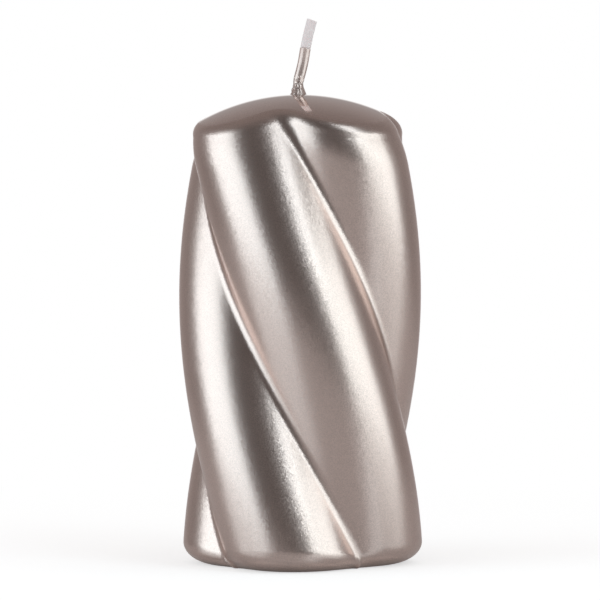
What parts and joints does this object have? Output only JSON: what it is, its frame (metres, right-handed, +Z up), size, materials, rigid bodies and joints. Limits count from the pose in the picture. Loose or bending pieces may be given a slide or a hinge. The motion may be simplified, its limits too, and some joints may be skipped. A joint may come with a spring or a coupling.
{
  "type": "pillar candle",
  "caption": "Twisted pillar candle with rounded lobes and spiral grooves, a domed top, a metallic lacquer coat and a bent cotton wick.",
  "frame": {"origin": "centre of the flat standing face, on the candle's axis", "axes": "+Z up along the wick's bore, -Y towards the front, +X to the right, the way the wick leans"},
  "size_m": [0.07, 0.07, 0.1574],
  "materials": {
    "wax": "satin",
    "lacquer": "satin",
    "cotton": "matte",
    "lacquer_drops": "gloss",
    "tinned_steel": "satin"
  },
  "bodies": {
    "root": {"wax_body": "wax", "lacquer_coat": "lacquer", "wick": "cotton", "wick_lacquer": "lacquer_drops", "wick_sustainer": "tinned_steel"}
  },
  "joints": []
}
